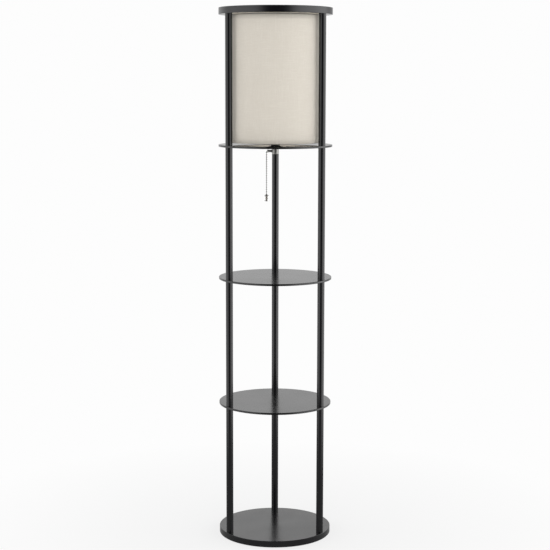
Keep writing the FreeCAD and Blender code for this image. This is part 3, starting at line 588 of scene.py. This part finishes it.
def mouth_link(nickel):
    """The wire from inside the switch's arm to the first bead outside."""
    low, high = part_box("switch_arm")
    axis = (low.z + high.z) / 2
    inner_end = low.x + INNER_BEAD_INSET
    outer_end = CHAIN_X - WIRE_RADIUS
    centre = ((inner_end + outer_end) / 2, 0, axis)
    half = (inner_end - outer_end) / 2
    link = start_wire(centre, round_ended(half, WIRE_RADIUS, MOUTH_LINK_ROWS))
    bpy.ops.transform.rotate(value=math.pi / 2, orient_axis="Y", center_override=centre)
    finish_piece(link, "mouth_link", nickel)
    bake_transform(link)


def bending_links():
    """The wires that close the chain where its bodies meet."""
    nickel = nodes["chain_stem"].data.materials[0]
    chain_knuckle("chain_swing_sideways", "chain_stem", nickel)
    chain_knuckle("chain_swing_forward", "chain_swivel", nickel)
    mouth_link(nickel)


# ------------------------------------------------------------------ studio's light
WHITE = 0.982
STUDIO_LEVEL = 1.03
SOFTBOXES = (
    # turn, how many degrees it spreads, what it adds to the studio's level
    (205, 50, 0.7),
    (350, 55, 1.6),
)
DIMMERS = (
    # turn and rise, how near to them dimming starts and is full, the share of light left there
    (270, 0, 0.78, 0.985, 0.04),
    (0, 90, 0.3, 0.8, 0.25),
)
# turn, how near to it dimming starts and is full, the share of light that it takes low down
BACK_DIMMER = (80, 0.6, 0.95, 0.4)
# how far up a direction points where it starts to leave and has left what is low down
LOW_DOWN = (0.02, 0.3)


def studio_level(made, way):
    """How bright the studio is in a direction: lighter from both sides, darker elsewhere."""
    level = STUDIO_LEVEL
    for turn, spread, added in SOFTBOXES:
        edge = math.cos(math.radians(spread))
        box = made.towards(way, heading(turn), edge, 1.0, 0.0, added)
        level = made.math("ADD", box, level)
    for turn, rise, start, end, left in DIMMERS:
        dimmer = made.towards(way, heading(turn, rise), start, end, 1.0, left)
        level = made.math("MULTIPLY", level, dimmer)
    turn, start, end, taken = BACK_DIMMER
    behind = made.towards(way, heading(turn), start, end, 0.0, taken)
    low_down = made.towards(way, heading(0, 90), *LOW_DOWN, 1.0, 0.0)
    return made.math("MULTIPLY", level,
                     made.math("SUBTRACT", 1.0, made.math("MULTIPLY", behind, low_down)))


def add_world():
    """White to look at, and the studio's light for everything else."""
    world = bpy.data.worlds.new("studio")
    bpy.context.scene.world = world
    world.use_nodes = True
    world.node_tree.nodes.clear()
    made = Nodes(world.node_tree)
    way = made.node("ShaderNodeTexCoord").outputs["Generated"]
    level = studio_level(made, way)
    shown = made.fill(made.node("ShaderNodeBackground"), rgb(1, 1, 1), level)
    plain = made.fill(made.node("ShaderNodeBackground"), rgb(1, 1, 1), WHITE)
    path = made.node("ShaderNodeLightPath").outputs
    for ray in ("Is Transmission Ray", "Is Camera Ray"):
        shown = made.mixed(path[ray], shown, plain)
    made.feed(made.node("ShaderNodeOutputWorld").inputs["Surface"], shown)


# ------------------------------------------------------------------ floor
FLOOR_RADIUS = 12.0
FLOOR_SIDES = 96
# the share of plain white in the floor under the lamp and away from it, and where it changes
FLOOR_WHITE = (0.8, 1.0)
FLOOR_FADE = (0.18, 1.1)
# the level that surfaces mirror of the floor near the lamp, and where it turns to the studio's
FLOOR_MIRRORED = 0.36
FLOOR_TO_STUDIO = (0.9, 2.2)
# the share of that level in what they mirror of the floor
MIRRORED_SHARE = 0.9


def add_floor():
    """Pale floor that keeps the lamp's shadow and fades into the white background."""
    floor = start_piece(bpy.ops.mesh.primitive_circle_add, vertices=FLOOR_SIDES,
                        radius=FLOOR_RADIUS, fill_type="NGON", location=(0, 0, 0))
    made = Pattern("pale_floor", {"Base Color": rgb(0.9, 0.9, 0.9), "Roughness": 0.9,
                                  "Specular IOR Level": 0.1})

    def glow(level):
        return made.fill(made.node("ShaderNodeEmission"), rgb(1, 1, 1), level)

    x, y, _ = made.axes()
    reach = made.math("SQRT", made.math("ADD", made.math("MULTIPLY", x, x),
                                        made.math("MULTIPLY", y, y)))
    outward = made.fill(made.node("ShaderNodeVectorMath", operation="NORMALIZE"), made.place)
    beyond = made.spread(reach, 0.0, 1.0, *FLOOR_TO_STUDIO)
    change = made.math("SUBTRACT", studio_level(made, outward), FLOOR_MIRRORED)
    mirrored_level = made.math("MULTIPLY_ADD", change, beyond, FLOOR_MIRRORED)
    seen = made.node("ShaderNodeLightPath").outputs
    looked_at = made.math("MAXIMUM", seen["Is Camera Ray"], seen["Is Transmission Ray"])
    white = made.math("MULTIPLY", made.spread(reach, *FLOOR_WHITE, *FLOOR_FADE), looked_at)
    mirrored = made.math("MULTIPLY", seen["Is Glossy Ray"], MIRRORED_SHARE)
    surface = made.mixed(white, made.shader.outputs[0], glow(WHITE))
    surface = made.mixed(mirrored, surface, glow(mirrored_level))
    made.feed(made.tree.nodes["Material Output"].inputs["Surface"], surface)
    finish_piece(floor, "floor", made.material)


# ------------------------------------------------------------------ lamps
FILL_TURNS = (270, 30, 150)
FILL_DISTANCE = 4.0
FILL_HEIGHT = 1.25
FILL_SIZE = 1.2
FILL_POWER = 24.0
INSIDE_HEIGHTS = (1.24, 1.34, 1.44)
INSIDE_Y = 60 * MM
INSIDE_SIZE = 40 * MM
INSIDE_POWER = 0.12


def add_lamp(name, kind, power, place, **settings):
    """A lamp that lights surfaces without being seen or mirrored in them."""
    data = bpy.data.lights.new(name, kind)
    data.energy = power
    for setting, value in settings.items():
        setattr(data, setting, value)
    lamp = bpy.data.objects.new(name, data)
    bpy.context.collection.objects.link(lamp)
    lamp.location = place
    lamp.visible_camera = False
    lamp.visible_glossy = False
    return lamp


def add_fill():
    """Level light from three sides, and the light that real cloth lets into the shade."""
    for turn in FILL_TURNS:
        x, y, _ = heading(turn)
        place = (x * FILL_DISTANCE, y * FILL_DISTANCE, FILL_HEIGHT)
        lamp = add_lamp("fill", "AREA", FILL_POWER, place, size=FILL_SIZE)
        lamp.rotation_euler = (math.radians(90), 0, math.radians(turn + 90))
    for height in INSIDE_HEIGHTS:
        add_lamp("inside_fill", "POINT", INSIDE_POWER, (0, INSIDE_Y, height),
                 shadow_soft_size=INSIDE_SIZE)


bpy.context.scene.view_settings.view_transform = "Standard"
add_camera()
add_world()
add_floor()
add_fill()
dress_black_parts()
dress_metal_parts()
dress_plastic_and_glass()
fabric_shade()
bending_links()
